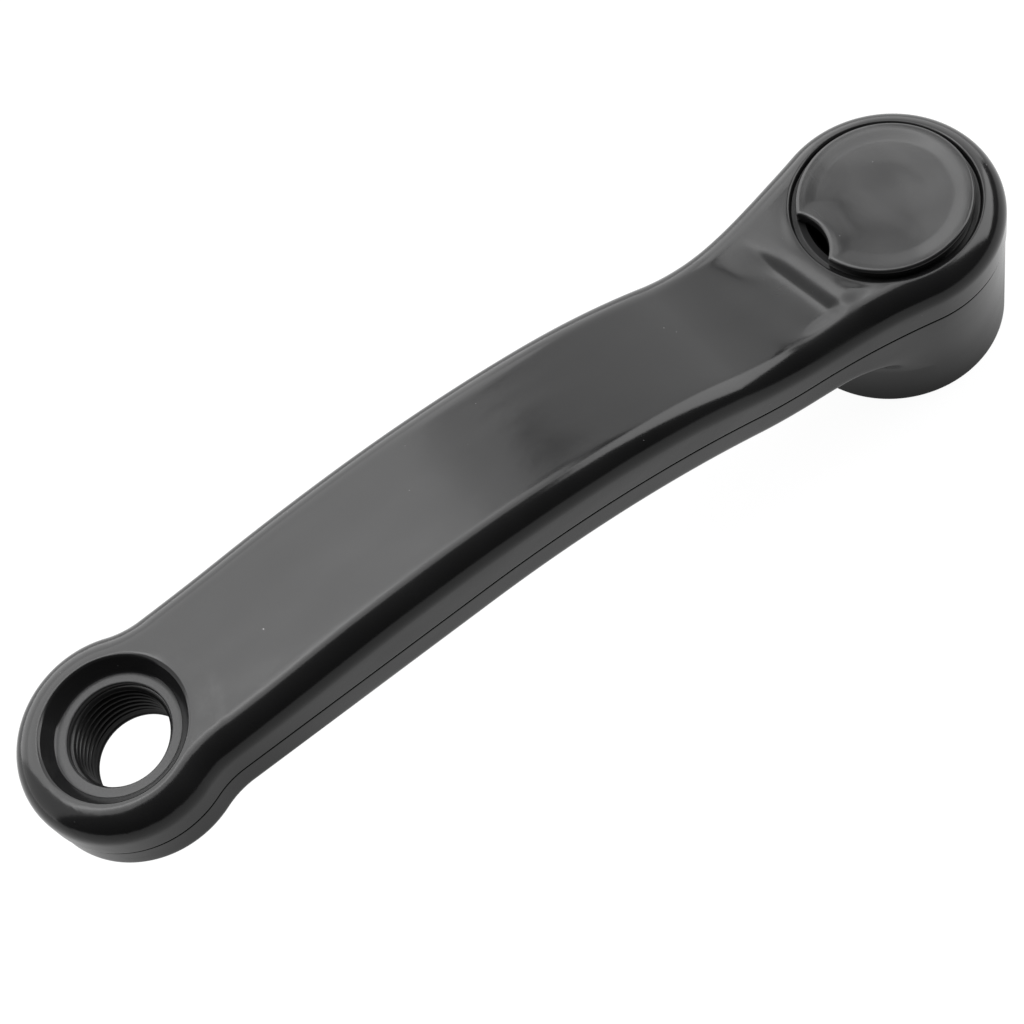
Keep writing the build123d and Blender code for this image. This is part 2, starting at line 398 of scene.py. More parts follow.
def shade_by_area(mesh):
    """Gives each vertex the normal of the faces round it, the large ones counting for more."""
    areas = np.empty(len(mesh.polygons))
    normals = np.empty(len(mesh.polygons) * 3)
    sizes = np.empty(len(mesh.polygons), int)
    corners = np.empty(len(mesh.loops), int)
    mesh.polygons.foreach_get("area", areas)
    mesh.polygons.foreach_get("normal", normals)
    mesh.polygons.foreach_get("loop_total", sizes)
    mesh.loops.foreach_get("vertex_index", corners)
    weighted = np.repeat(normals.reshape(-1, 3) * areas[:, None], sizes, axis=0)
    total = np.zeros((len(mesh.vertices), 3))
    np.add.at(total, corners, weighted)
    total /= np.maximum(np.linalg.norm(total, axis=1, keepdims=True), 1e-20)
    mesh.normals_split_custom_set_from_vertices(total.tolist())


def on_circle(radius, angles, centre_x=0.0):
    """Plan points at some angles on a circle about a point of the arm's middle line."""
    return np.stack([centre_x + radius * np.cos(angles), radius * np.sin(angles)], -1)


def raised(plan, height):
    """Plan points lifted to a height, or each to its own."""
    plan = np.asarray(plan, float)
    return np.concatenate([plan, np.broadcast_to(height, plan.shape[:-1])[..., None]], -1)


def turned(profile, angles, centre_x=0.0):
    """Rows of points for a turned surface, one for each (radius, height) of its profile."""
    return [raised(on_circle(radius, angles, centre_x), height) for radius, height in profile]


def spread(start, end, steps):
    """Rows that go from one row of values to another in even steps."""
    return [start + (end - start) * share for share in np.linspace(0, 1, steps + 1)]


def stretches(stops, counts):
    """Places from stop to stop, each stretch in its own number of steps, without the first stop."""
    runs = zip(stops, stops[1:], counts)
    return np.concatenate([np.linspace(start, end, count + 1)[1:] for start, end, count in runs])


def arc_points(centre, radius, start, end, steps):
    """Points of an arc in a profile, from one angle in degrees to another."""
    angles = np.radians(np.linspace(start, end, steps + 1))
    return [(centre[0] + radius * cos(a), centre[1] + radius * sin(a)) for a in angles]


class Outline:
    """Half of the arm's plan outline as stations: a point on the edge and the way out from it."""

    def __init__(self):
        self.points, self.ways = [], []
        flare_y = ARM_HALF_WIDTH + HEAD_FLARE_RADIUS
        flare_x = sqrt((HEAD_RADIUS + HEAD_FLARE_RADIUS) ** 2 - flare_y ** 2)
        head_end = atan2(flare_y, flare_x)
        eye_flare_y = ARM_HALF_WIDTH + EYE_FLARE_RADIUS
        eye_back = sqrt((EYE_RADIUS + EYE_FLARE_RADIUS) ** 2 - eye_flare_y ** 2)
        eye_start = atan2(eye_flare_y, -eye_back)
        eye_flare_x = CRANK_LENGTH - eye_back

        for angle in np.linspace(pi, head_end, HEAD_STATIONS):
            self.add((0, 0), HEAD_RADIUS, (cos(angle), sin(angle)))
        self.head_end = len(self.points) - 1

        free = self.leaves_ring(HEAD_FLARE_RADIUS, flare_x, flare_y, HEAD_RING)
        leave_x = flare_x - HEAD_FLARE_RADIUS * sin(pi / 2 - head_end - free)
        stops = self.points[-1][0], leave_x, HEAD_CHORD_X, flare_x
        for x in stretches(stops, HEAD_FLARE_STEPS):
            tilt = asin((flare_x - x) / HEAD_FLARE_RADIUS)
            self.add((flare_x, flare_y), -HEAD_FLARE_RADIUS, (sin(tilt), cos(tilt)))
        self.head_leave = self.head_end + HEAD_FLARE_STEPS[0]
        self.head_chord = self.head_leave + HEAD_FLARE_STEPS[1]

        for x in stretches((flare_x, EYE_CHORD_X, eye_flare_x), ARM_STEPS):
            self.add((x, ARM_HALF_WIDTH), 0.0, (0.0, 1.0))
        self.eye_chord = self.head_chord + HEAD_FLARE_STEPS[2] + ARM_STEPS[0]

        full = eye_start - pi / 2
        free = self.leaves_ring(EYE_FLARE_RADIUS, -eye_back, eye_flare_y, EYE_RING)
        for tilt in stretches((0.0, full - free, full), EYE_FLARE_STEPS):
            self.add((eye_flare_x, eye_flare_y), -EYE_FLARE_RADIUS, (-sin(tilt), cos(tilt)))
        self.eye_leave = self.eye_chord + ARM_STEPS[1] + EYE_FLARE_STEPS[0]

        for angle in np.linspace(eye_start, 0, EYE_STATIONS)[1:]:
            self.add((CRANK_LENGTH, 0), EYE_RADIUS, (cos(angle), sin(angle)))
        self.points, self.ways = np.array(self.points), np.array(self.ways)

    def add(self, centre, radius, way):
        """Adds the station that lies some way from a centre; a hollow arc has a radius below 0."""
        way = np.array(way)
        self.points.append(np.array(centre) + radius * way)
        self.ways.append(way)

    @staticmethod
    def leaves_ring(flare, x, y, ring):
        """How far round the flare its rounded edge runs before it clears the ring of a hole."""
        reach = sqrt(x * x + y * y)
        inner = flare + FACE_EDGE_RADIUS
        return acos((reach ** 2 + inner ** 2 - ring ** 2) / (2 * reach * inner))

    def inset(self, depth):
        return self.points - np.asarray(depth)[..., None] * self.ways


def ring_limit(outline):
    """How deep the rounded outer edge goes at each station before a hole's ring cuts it off."""
    depth = np.full(len(outline.points), FACE_EDGE_RADIUS)
    for centre, ring in (((0, 0), HEAD_RING), ((CRANK_LENGTH, 0), EYE_RING)):
        away = outline.points - np.array(centre)
        along = np.sum(away * outline.ways, -1)
        inside = along ** 2 - np.sum(away ** 2, -1) + ring ** 2
        cut = along - np.sqrt(np.maximum(inside, 0))
        depth = np.where((inside > 0) & (cut > 0) & (cut < depth), cut, depth)
    return depth


def rounded_square(angles, half, corner):
    """Distance from the middle to a rounded square's edge."""
    turn = np.abs((np.asarray(angles) + pi / 4) % (pi / 2) - pi / 4)
    flat = half / np.cos(turn)
    middle = half - corner
    along = middle * (np.cos(turn) + np.sin(turn))
    across = 2 * middle ** 2 - corner ** 2
    arc = along + np.sqrt(np.maximum(along ** 2 - across, 0))
    return np.where(half * np.tan(turn) <= middle, flat, arc)


def build_arm():
    """The whole arm: half of its skin in grids that meet at the outline's stations, then mirrored."""
    outline = Outline()
    skin = Skin()
    head_end, head_leave, head_chord = outline.head_end, outline.head_leave, outline.head_chord
    eye_chord, eye_leave = outline.eye_chord, outline.eye_leave

    # Rounded edge of the outer face
    top_turn = np.arccos(1 - ring_limit(outline) / FACE_EDGE_RADIUS)
    edge = []
    for share in np.linspace(1, 0, EDGE_STEPS + 1):
        turn = top_turn * share
        plan = outline.inset(FACE_EDGE_RADIUS * (1 - np.cos(turn)))
        edge.append(raised(plan, face_height(plan) - FACE_EDGE_RADIUS * (1 - np.sin(turn))))
    skin.grid(edge)
    brink = edge[0]

    # Outer wall, the fine groove of the parting line, inner wall
    parting = PARTING.height(outline.points[:, 0])
    heights = spread(edge[-1][:, 2], parting + SEAM[0][1], OUTER_WALL_STEPS)
    skin.grid([raised(outline.points, height) for height in heights])
    skin.grid([raised(outline.inset(depth), parting + rise) for depth, rise in SEAM])
    inner = outline.inset(PARTING_STEP)
    boss_end = outline.points[head_end, 0]
    back_radius = BACK_EDGE_RADIUS * smooth(outline.points[:, 0], boss_end, boss_end + BACK_EDGE_GROWTH)
    on_boss = np.arange(len(inner)) <= head_end
    wall_foot = np.where(on_boss, FLARE_FOOT, underside_height(inner) + back_radius)
    heights = spread(parting + SEAM[-1][1], wall_foot, INNER_WALL_STEPS)
    skin.grid([raised(inner, height) for height in heights])

    # Rounded edge of the underside, from the boss on
    under_edge = []
    for turn in np.linspace(0, pi / 2, UNDER_EDGE_STEPS + 1):
        plan = outline.inset(PARTING_STEP + back_radius * (1 - cos(turn)))
        under_edge.append(raised(plan, underside_height(plan) + back_radius * (1 - sin(turn))))
    under_edge = np.array(under_edge)[:, head_end:]
    skin.grid(under_edge)
    under = under_edge[-1]

    # Ribs across the arm, on the outer face and on the underside
    def rib(end_point):
        return [(end_point[0], end_point[1] * (1 - s)) for s in np.linspace(0, 1, CHORD_STEPS + 1)]

    top_ribs = np.array([rib(brink[i]) for i in range(head_chord, eye_chord + 1)])
    skin.grid(raised(top_ribs, face_height(top_ribs)))
    under_ribs = np.array([rib(under[i - head_end]) for i in range(head_chord, eye_chord + 1)])
    skin.grid(raised(under_ribs, underside_height(under_ribs)))

    # Head, outer face: from the recess's edge out to the rounded edge and the first rib
    head_outer = np.concatenate([brink[:head_chord + 1, :2], top_ribs[0][1:]])
    head_angles = np.arctan2(head_outer[:, 1], head_outer[:, 0])
    head_angles[0], head_angles[-1] = pi, 0.0
    head_ring = on_circle(HEAD_RING, head_angles)
    sector = spread(head_ring[head_leave:], head_outer[head_leave:], HEAD_FACE_STEPS)
    skin.grid([raised(plan, face_height(plan)) for plan in sector])
    rim_height = face_height(head_ring)
    rim_height[:head_leave + 1] = brink[:head_leave + 1, 2]

    # Head, inside: recess edge and floor, extractor bore, square socket, back face and boss
    rows = []
    for radius, drop in arc_points((HEAD_RING, -RECESS_EDGE), RECESS_EDGE, 90, 180, 5):
        rows.append(raised(on_circle(radius, head_angles), rim_height + drop))
    rows += turned(bore_profile(), head_angles)
    for height, half, corner in socket_sections():
        reach = rounded_square(head_angles, half, corner)[:, None]
        rows.append(raised(reach * on_circle(1, head_angles), height))
    rows += turned(boss_profile(), head_angles)
    skin.grid(rows)

    # Flare of the boss into the underside
    flare_outer = np.concatenate([under[:head_chord - head_end + 1, :2], under_ribs[0][1:]])
    flare_inner = on_circle(BOSS_RADIUS, head_angles[head_end:])
    reach = np.hypot(flare_outer[:, 0], flare_outer[:, 1])
    hollow = np.minimum(1, BOSS_FLARE_RADIUS / np.maximum(reach - BOSS_RADIUS, 1e-6))
    flare = [raised(flare_inner, FLARE_FOOT)]
    for turn in np.linspace(0, pi / 2, BOSS_FLARE_STEPS + 1)[1:]:
        plan = flare_inner + (flare_outer - flare_inner) * (hollow * (1 - cos(turn)))[:, None]
        flare.append(raised(plan, underside_height(plan)))
    flare.append(raised(flare_outer, underside_height(flare_outer)))
    skin.grid(flare)

    # Pedal eye, outer face and underside: from the hole's rings out to the rounded edges
    eye_outer = np.concatenate([top_ribs[-1][::-1][:-1], brink[eye_chord:, :2]])
    eye_angles = np.arctan2(eye_outer[:, 1], eye_outer[:, 0] - CRANK_LENGTH)
    eye_angles[0], eye_angles[-1] = pi, 0.0
    eye_ring = on_circle(EYE_RING, eye_angles, CRANK_LENGTH)
    free_end = CHORD_STEPS + eye_leave - eye_chord
    sector = spread(eye_ring[:free_end + 1], eye_outer[:free_end + 1], EYE_FACE_STEPS)
    skin.grid([raised(plan, face_height(plan)) for plan in sector])
    rim_height = face_height(eye_ring)
    rim_height[free_end:] = brink[eye_leave:, 2]
    rows = [raised(eye_ring, rim_height)] + turned(eye_profile(), eye_angles, CRANK_LENGTH)
    skin.grid(rows)
    under_outer = np.concatenate([under_ribs[-1][::-1][:-1], under[eye_chord - head_end:, :2]])
    sector = spread(rows[-1][:, :2], under_outer, EYE_UNDER_STEPS)
    skin.grid([raised(plan, underside_height(plan)) for plan in sector])

    skin.mirror()
    for half in skin.points:
        lean_step(half)
    return skin.piece("crank_arm_body", SOFT_SPOTS)


def bore_profile():
    """Recess floor, ledge, extractor bore and its floor: radius and height."""
    corner = RECESS_RADIUS - RECESS_CORNER, RECESS_FLOOR + RECESS_CORNER
    mouth, top, foot = EXTRACTOR_ROOT + BORE_CHAMFER, RECESS_FLOOR - BORE_CHAMFER, BORE_FLOOR + BORE_CHAMFER
    return arc_points(corner, RECESS_CORNER, 0, -90, 2) + [
        (LEDGE_MIDDLE, RECESS_FLOOR), (mouth + BORE_GUARDS[0], RECESS_FLOOR), (mouth, RECESS_FLOOR),
        (EXTRACTOR_ROOT, top), (EXTRACTOR_ROOT, top - BORE_GUARDS[1]), (EXTRACTOR_ROOT, foot),
        (EXTRACTOR_ROOT - BORE_CHAMFER, BORE_FLOOR), (BORE_FLOOR_MIDDLE, BORE_FLOOR)]


def socket_sections():
    """Square sections from the bore's floor down to the socket's mouth: height, half width, corner."""
    sections = []
    for height in np.linspace(BORE_FLOOR, SOCKET_CHAMFER, SOCKET_STEPS + 1):
        shrink = height * tan(SOCKET_TAPER)
        sections.append((height, SOCKET_HALF - shrink, SOCKET_CORNER - shrink))
    sections.append((0.0, SOCKET_HALF + SOCKET_CHAMFER, SOCKET_CORNER + SOCKET_CHAMFER))
    return sections


def boss_profile():
    """Back face, rounded back edge and wall of the boss: radius and height."""
    corner = BOSS_RADIUS - BOSS_EDGE, BOSS_EDGE
    return ([(radius, 0) for radius in BACK_FACE_RINGS] + arc_points(corner, BOSS_EDGE, -90, 0, 4)
            + [(BOSS_RADIUS, height) for height in BOSS_WALL_RINGS])


def eye_profile():
    """Dish, land, lead-in, threaded wall and lower lead-in: radius and height."""
    slope = np.degrees(DISH_WALL_SLOPE)
    points = arc_points((DISH_TOP_RADIUS, EYE_HEIGHT - DISH_EDGE), DISH_EDGE, 90, 90 + slope, 6)[1:]
    reach = LAND_FILLET * tan(DISH_WALL_SLOPE / 2)
    points += arc_points(
        (LAND_RADIUS - reach, LAND_HEIGHT + LAND_FILLET), LAND_FILLET, slope - 90, -90, 4)
    mouth, top = THREAD_ROOT + THREAD_LEAD, LAND_HEIGHT - MOUTH_CHAMFER[1]
    points += [(mouth + LAND_RING, LAND_HEIGHT), (mouth + MOUTH_CHAMFER[0], LAND_HEIGHT), (mouth, top)]
    points += [(THREAD_ROOT, top - THREAD_LEAD)]
    wall = np.linspace(LAND_HEIGHT - THREAD_WALL_TOP, EYE_BACK + THREAD_WALL_END, THREAD_WALL_STEPS + 1)
    points += [(THREAD_ROOT, height) for height in wall]
    points += [(NECK_RADIUS, EYE_BACK + NECK_TOP), (NECK_RADIUS, EYE_BACK + NECK_CHAMFER)]
    points += [(NECK_RADIUS + NECK_CHAMFER, EYE_BACK)]
    return points


class Sock:
    """A socket of a node tree that takes part in sums."""

    def __init__(self, tree, socket):
        self.tree, self.socket = tree, socket

    def maths(self, operation, *others):
        return self.tree.maths(operation, self, *others)

    def __add__(self, other):
        return self.maths("ADD", other)

    __radd__ = __add__

    def __sub__(self, other):
        return self.maths("SUBTRACT", other)

    def __rsub__(self, other):
        return self.tree.maths("SUBTRACT", other, self)

    def __mul__(self, other):
        return self.maths("MULTIPLY", other)

    __rmul__ = __mul__

    def __truediv__(self, other):
        return self.maths("DIVIDE", other)

    def __rtruediv__(self, other):
        return self.tree.maths("DIVIDE", other, self)

    def __abs__(self):
        return self.maths("ABSOLUTE")

    def clamp(self):
        return self.tree.add("ShaderNodeClamp", {}, {"Value": self})


class Tree:
    """Adds nodes to a node tree: their settings first, then the values or links of their sockets."""

    def __init__(self, nodes):
        self.nodes = nodes

    def add(self, kind, settings, inputs, output=0):
        node = self.nodes.nodes.new(kind)
        for name, value in settings.items():
            setattr(node, name, value)
        for key, value in inputs.items():
            socket = node.inputs[key]
            if isinstance(value, Sock):
                self.nodes.links.new(value.socket, socket)
            else:
                socket.default_value = value
        return Sock(self, node.outputs[output])

    def maths(self, operation, *values):
        return self.add("ShaderNodeMath", {"operation": operation}, dict(enumerate(values)))

    def axes(self, vector):
        node = self.add("ShaderNodeSeparateXYZ", {}, {"Vector": vector}).socket.node
        return [Sock(self, output) for output in node.outputs]

    def between(self, value, start, end, low=0.0, high=1.0):
        """low before start and high after end, smooth between them."""
        return self.add("ShaderNodeMapRange", {"interpolation_type": "SMOOTHSTEP"}, {
            "Value": value, "From Min": start, "From Max": end, "To Min": low, "To Max": high})


def open_tree(name, sizes):
    """Starts a tree of geometry nodes with named inputs, and gives the tree and the inputs."""
    group = bpy.data.node_groups.new(name, "GeometryNodeTree")
    for size, kind in sizes.items():
        group.interface.new_socket(size, in_out="INPUT", socket_type="NodeSocket" + kind)
    group.interface.new_socket("Piece", in_out="OUTPUT", socket_type="NodeSocketGeometry")
    tree = Tree(group)
    entry = group.nodes.new("NodeGroupInput")
    return tree, {size: Sock(tree, entry.outputs[size]) for size in sizes}


def close_tree(tree, sheet, spot, finish):
    """Ends a tree: moves a sheet's points to their spots, welds them and gives the piece its finish."""
    piece = tree.add("GeometryNodeSetPosition", {}, {"Geometry": sheet, "Position": spot})
    piece = tree.add("GeometryNodeMergeByDistance", {}, {"Geometry": piece, "Distance": WELD})
    piece = tree.add("GeometryNodeRealizeInstances", {}, {"Geometry": piece})
    piece = tree.add("GeometryNodeSetMaterial", {}, {"Geometry": piece, "Material": finish})
    exit_node = tree.nodes.nodes.new("NodeGroupOutput")
    tree.nodes.links.new(piece.socket, exit_node.inputs["Piece"])
    return tree.nodes


def thread_tree():
    """Geometry nodes for a thread: a vee ridge that climbs round the wall of a hole.

    A flat strip is rolled up: along it the ridge climbs, and across it the outline of the ridge is closed,
    its front half the vee and its back half a shallow bulge sunk into the wall.
    """
    tree, size = open_tree("thread ridge", {
        "Root radius": "Float", "Crest radius": "Float", "Pitch": "Float", "Turns": "Float",
        "Start height": "Float", "Axis x": "Float", "Hand": "Float", "Steps per turn": "Int",
        "Finish": "Material"})
    ridge_rows, half_way, sunk, back_bulge, ridge_share = 9, 0.501, 0.02 * MM, 0.2, 0.46
    strip = tree.add("GeometryNodeMeshGrid", {}, {
        "Size X": 1.0, "Size Y": 1.0, "Vertices Y": ridge_rows,
        "Vertices X": size["Turns"] * size["Steps per turn"] + 1})
    along, round_ridge, _ = tree.axes(tree.add("GeometryNodeInputPosition", {}, {}))
    along, round_ridge = along + 0.5, round_ridge + 0.5
    turn = along * size["Turns"]
    fade = (2 * turn.maths("MINIMUM", size["Turns"] - turn)).clamp()
    vee = 1 - abs(2 * round_ridge - 1) * 2
    front = round_ridge.maths("LESS_THAN", half_way)
    depth = (1 - abs(vee)) * (front * (1 + back_bulge) - back_bulge)
    wall = size["Root radius"] + sunk
    radius = wall - (wall - size["Crest radius"]) * depth * fade
    angle = turn * size["Hand"] * (2 * pi)
    spot = tree.add("ShaderNodeCombineXYZ", {}, {
        "X": size["Axis x"] + radius * angle.maths("COSINE"), "Y": radius * angle.maths("SINE"),
        "Z": size["Start height"] + size["Pitch"] * (turn + vee * fade * ridge_share)})
    return close_tree(tree, strip, spot, size["Finish"])


def cap_tree():
    """Geometry nodes for a bitten lid: sweeps the carrier's profile points round the cap's axis.

    A profile point is (radius, 0, height) on a plain ring, or (inset, 1, height) on a ring that follows
    the lid's outline with the bite in it.
    """
    tree, size = open_tree("bitten lid", {
        "Profile": "Geometry", "Lid radius": "Float", "Bite radius": "Float", "Bite reach": "Float",
        "Bite angle": "Float", "Lip": "Float", "Seat height": "Float", "Lid height": "Float",
        "Tilt": "Float", "Columns": "Int", "Finish": "Material"})
    crowding = 0.4
    rows = tree.add("GeometryNodeAttributeDomainSize", {"component": "MESH"}, {"Geometry": size["Profile"]})
    sheet = tree.add("GeometryNodeMeshGrid", {}, {
        "Size X": 2.0, "Size Y": 1.0, "Vertices X": size["Columns"] + 1, "Vertices Y": rows})
    place = tree.add("GeometryNodeInputPosition", {}, {})
    across, row, _ = tree.axes(place)
    row = (row + 0.5) * (rows - 1)
    ring = tree.add(
        "GeometryNodeSampleIndex", {"data_type": "FLOAT_VECTOR", "domain": "POINT"},
        {"Geometry": size["Profile"], "Value": place, "Index": row.maths("ROUND")})
    inset, bitten, height = tree.axes(ring)

    # Columns crowd together at the bite, where the outline turns most
    turn = across * abs(across).maths("POWER", crowding) * pi
    side = size["Bite reach"] * turn.maths("SINE")
    bite = size["Bite radius"] + inset
    inside = bite * bite - side * side
    ahead = turn.maths("COSINE")
    missed = inside.maths("LESS_THAN", 0.0) + ahead.maths("LESS_THAN", 0.0)
    bite_edge = size["Bite reach"] * ahead - inside.maths("MAXIMUM", 0.0).maths("SQRT") + missed
    outline = (size["Lid radius"] - inset).maths("SMOOTH_MIN", bite_edge, size["Lip"])
    radius = inset + bitten * (outline - inset)
    angle = turn + size["Bite angle"]
    x = radius * angle.maths("COSINE")
    above = ((height - size["Seat height"]) / size["Lid height"]).clamp()
    spot = tree.add("ShaderNodeCombineXYZ", {}, {
        "X": x, "Y": radius * angle.maths("SINE"), "Z": height - x * size["Tilt"] * above})
    return close_tree(tree, sheet, spot, size["Finish"])


def grown(tree, name, points=(), **sizes):
    """Runs a tree on a carrier made of the points given and keeps the result as a plain mesh."""
    carrier = bpy.data.objects.new(name + ".carrier", bpy.data.meshes.new(name + ".carrier"))
    carrier.data.from_pydata(points, [], [])
    bpy.context.scene.collection.objects.link(carrier)
    modifier = carrier.modifiers.new(tree.name, "NODES")
    modifier.node_group = tree
    values = {key.replace("_", " ").capitalize(): value for key, value in sizes.items()}
    for socket in tree.interface.items_tree:
        if socket.in_out == "INPUT" and socket.socket_type != "NodeSocketGeometry":
            modifier[socket.identifier] = values[socket.name]
    seen = carrier.evaluated_get(bpy.context.evaluated_depsgraph_get())
    mesh = bpy.data.meshes.new_from_object(seen)
    carrier.modifiers.remove(modifier)
    bpy.data.objects.remove(carrier)
    return finished(name, mesh)


def cap_profile():
    """Rings of the dust cap from the middle of its dished top, over the rim and skirt, to its inside."""
    rings = [(reach, 0, CAP_TOP - depth) for reach, depth in CAP_DISH]
    rim = [(inset, CAP_TOP - depth) for inset, depth in CAP_DISH_RIM]
    rim += arc_points((CAP_EDGE, CAP_TOP - CAP_EDGE), CAP_EDGE, 90, 180, 6)
    rim += [(0.0, RECESS_FLOOR + CAP_WALL_RING), (0.0, RECESS_FLOOR + CAP_SEAT_CHAMFER)]
    rim += [(CAP_SEAT_CHAMFER, RECESS_FLOOR)]
    outer, inner = CAP_RADIUS - SKIRT_RADIUS, CAP_RADIUS - SKIRT_INNER
    rim += [(outer, RECESS_FLOOR), (outer, RECESS_FLOOR - SKIRT_RING)]
    rim += [(outer, SKIRT_END + SKIRT_CHAMFER), (outer + SKIRT_CHAMFER, SKIRT_END)]
    rim += [(inner - SKIRT_CHAMFER, SKIRT_END), (inner, SKIRT_END + SKIRT_CHAMFER)]
    rim += [(inner, RECESS_FLOOR - SKIRT_CORNER), (inner + SKIRT_CORNER, RECESS_FLOOR)]
    rings += [(inset, 1, height) for inset, height in rim] + [(0.0, 0, RECESS_FLOOR)]
    return [(reach * MM, bitten, height * MM) for reach, bitten, height in rings]


class Finish:
    """A Principled material with the object's own coordinates at hand, in millimetres."""

    def __init__(self, name, specular):
        self.material = bpy.data.materials.new(name)
        self.material.use_nodes = True
        self.tree = Tree(self.material.node_tree)
        self.shader = self.material.node_tree.nodes["Principled BSDF"]
        self.shader.inputs["Specular IOR Level"].default_value = specular
        spot = self.tree.add("ShaderNodeTexCoord", {}, {}, "Object")
        self.spot = self.tree.add("ShaderNodeVectorMath", {"operation": "SCALE"}, {0: spot, "Scale": 1 / MM})
        self.x, self.y, self.z = self.tree.axes(self.spot)
        self.between = self.tree.between

    def noise(self, size, detail=2.0, stretch=(1, 1, 1)):
        """Soft noise, 0 to 1, with blotches about as large as size in millimetres."""
        spot = self.tree.add(
            "ShaderNodeVectorMath", {"operation": "MULTIPLY"},
            {0: self.spot, 1: tuple(1 / (size * along) for along in stretch)})
        return self.tree.add("ShaderNodeTexNoise", {}, {"Vector": spot, "Scale": 1.0, "Detail": detail})

    def specks(self, spacing, reach, share):
        """Dots of a given reach in millimetres, in that share of the cells of a scattered grid."""
        inputs = {"Vector": self.spot, "Scale": 1 / spacing}
        gap = self.tree.add("ShaderNodeTexVoronoi", {}, inputs)
        colour = self.tree.add("ShaderNodeTexVoronoi", {}, inputs, "Color")
        pick = self.tree.add("ShaderNodeSeparateColor", {}, {"Color": colour})
        return self.between(gap * spacing, reach, reach * 0.5) * pick.maths("LESS_THAN", share)

    def away(self, centre_x):
        """Distance from an axis that stands on the arm's middle line."""
        dx = self.x - centre_x
        return (dx * dx + self.y * self.y).maths("SQRT")

    def grey(self, value):
        """A grey with a touch of blue."""
        return self.tree.add(
            "ShaderNodeCombineColor", {}, {"Red": value, "Green": value, "Blue": value * 1.02})

    def feed(self, height, depth, **inputs):
        """Links the shader's inputs and the relief, whose full height is depth millimetres."""
        inputs["Normal"] = self.tree.add(
            "ShaderNodeBump", {}, {"Height": height, "Distance": depth * MM, "Strength": 1.0})
        for name, value in inputs.items():
            self.material.node_tree.links.new(value.socket, self.shader.inputs[name.replace("_", " ")])
        return self.material


def black_paint():
    """Gloss black paint: slight waves and orange peel, soft blotches and dust.

    It is satin on the land round the pedal hole and duller on the step and in the holes. The ledge under the
    dust cap and the extractor bore below it carry painted shade: a metallic input on the near-black colour
    makes them dead black, standing in for the shade of the gap under the cap.
    """
    paint = Finish("gloss black paint", specular=0.225)
    from_pedal, from_spindle = paint.away(CRANK_LENGTH), paint.away(0.0)
    land = (paint.between(from_pedal, LAND_RADIUS + 0.1, LAND_RADIUS - 0.1)
            * paint.between(paint.z, LAND_HEIGHT - 0.15, LAND_HEIGHT - 0.05))
    bore = paint.between(from_pedal, THREAD_ROOT + 0.15, THREAD_ROOT + 0.05)
    # Painted shade: the ledge and extractor bore under the dust cap are made dead black
    ledge_painted_shade = (paint.between(from_spindle, *PAINTED_SHADE_LEDGE_RADIUS) * paint.between(paint.z, *PAINTED_SHADE_LEDGE_TOP)
                 * paint.between(paint.z, *PAINTED_SHADE_BORE_FOOT))
    step = paint.between(paint.x, *DULL_STEP_START) * paint.between(paint.x, *DULL_STEP_END)
    eye_ring = (paint.between(from_pedal, DISH_TOP_RADIUS - 0.6, DISH_TOP_RADIUS + 0.4)
                * paint.between(from_pedal, EYE_RADIUS + 1.0, EYE_RADIUS - 1.0))

    cloud = paint.noise(size=9.0, detail=3.0)
    wave = paint.noise(size=9.0, detail=1.0, stretch=(2.2, 1.0, 1.0))
    streak = paint.noise(size=2.2, detail=3.0, stretch=(3.0, 1.0, 1.0))
    smear = paint.noise(size=3.0, detail=3.0, stretch=(1.0, 2.6, 1.0))
    peel = paint.noise(size=1.3, detail=1.0)
    grit = paint.noise(size=0.22)
    dust = paint.specks(spacing=4.0, reach=0.17, share=0.16)
    lint = paint.specks(spacing=1.1, reach=0.08, share=0.05)

    colour = 0.004 + cloud * 0.003 + (dust * 0.22 + lint * 0.09) * (1 - bore) + land * grit * 0.02
    roughness = (0.12 + cloud * 0.05 + streak * 0.04 + dust * 0.3 + step * 0.1 + land * (0.16 + grit * 0.12)
                 + bore * 0.15 + ledge_painted_shade * 0.3)
    relief = (wave * 16.0 + eye_ring * smear * 7.0 + peel * 0.5 + streak * 0.3 + grit * (0.06 + land * 0.7)
              + (dust + lint) * 0.5)
    # Metallic on the near-black colour paints the shade of the gap under the cap
    return paint.feed(
        relief, depth=0.012, Base_Color=paint.grey(colour), Roughness=roughness.clamp(), Metallic=ledge_painted_shade)


def black_plastic():
    """Moulded black plastic: a soft sheen with broad sink marks, fine grain and a few scuffs."""
    plastic = Finish("black moulded plastic", specular=0.28)
    sink = plastic.noise(size=13.0, detail=1.0, stretch=(1.0, 1.4, 1.0))
    flow = plastic.noise(size=4.0, stretch=(1.0, 1.6, 1.0))
    grain = plastic.noise(size=0.35)
    dust = plastic.specks(spacing=2.8, reach=0.10, share=0.2)
    scuff = plastic.between(plastic.noise(size=1.6, detail=4.0, stretch=(0.3, 4.0, 1.0)), 0.66, 0.8)
    colour = 0.005 + flow * 0.003 + dust * 0.07 + scuff * 0.006
    roughness = 0.16 + flow * 0.08 + scuff * 0.1 + dust * 0.2
    relief = sink + flow * 0.03 + grain * 0.008 + dust * 0.015
    return plastic.feed(relief, depth=0.6, Base_Color=plastic.grey(colour), Roughness=roughness.clamp())


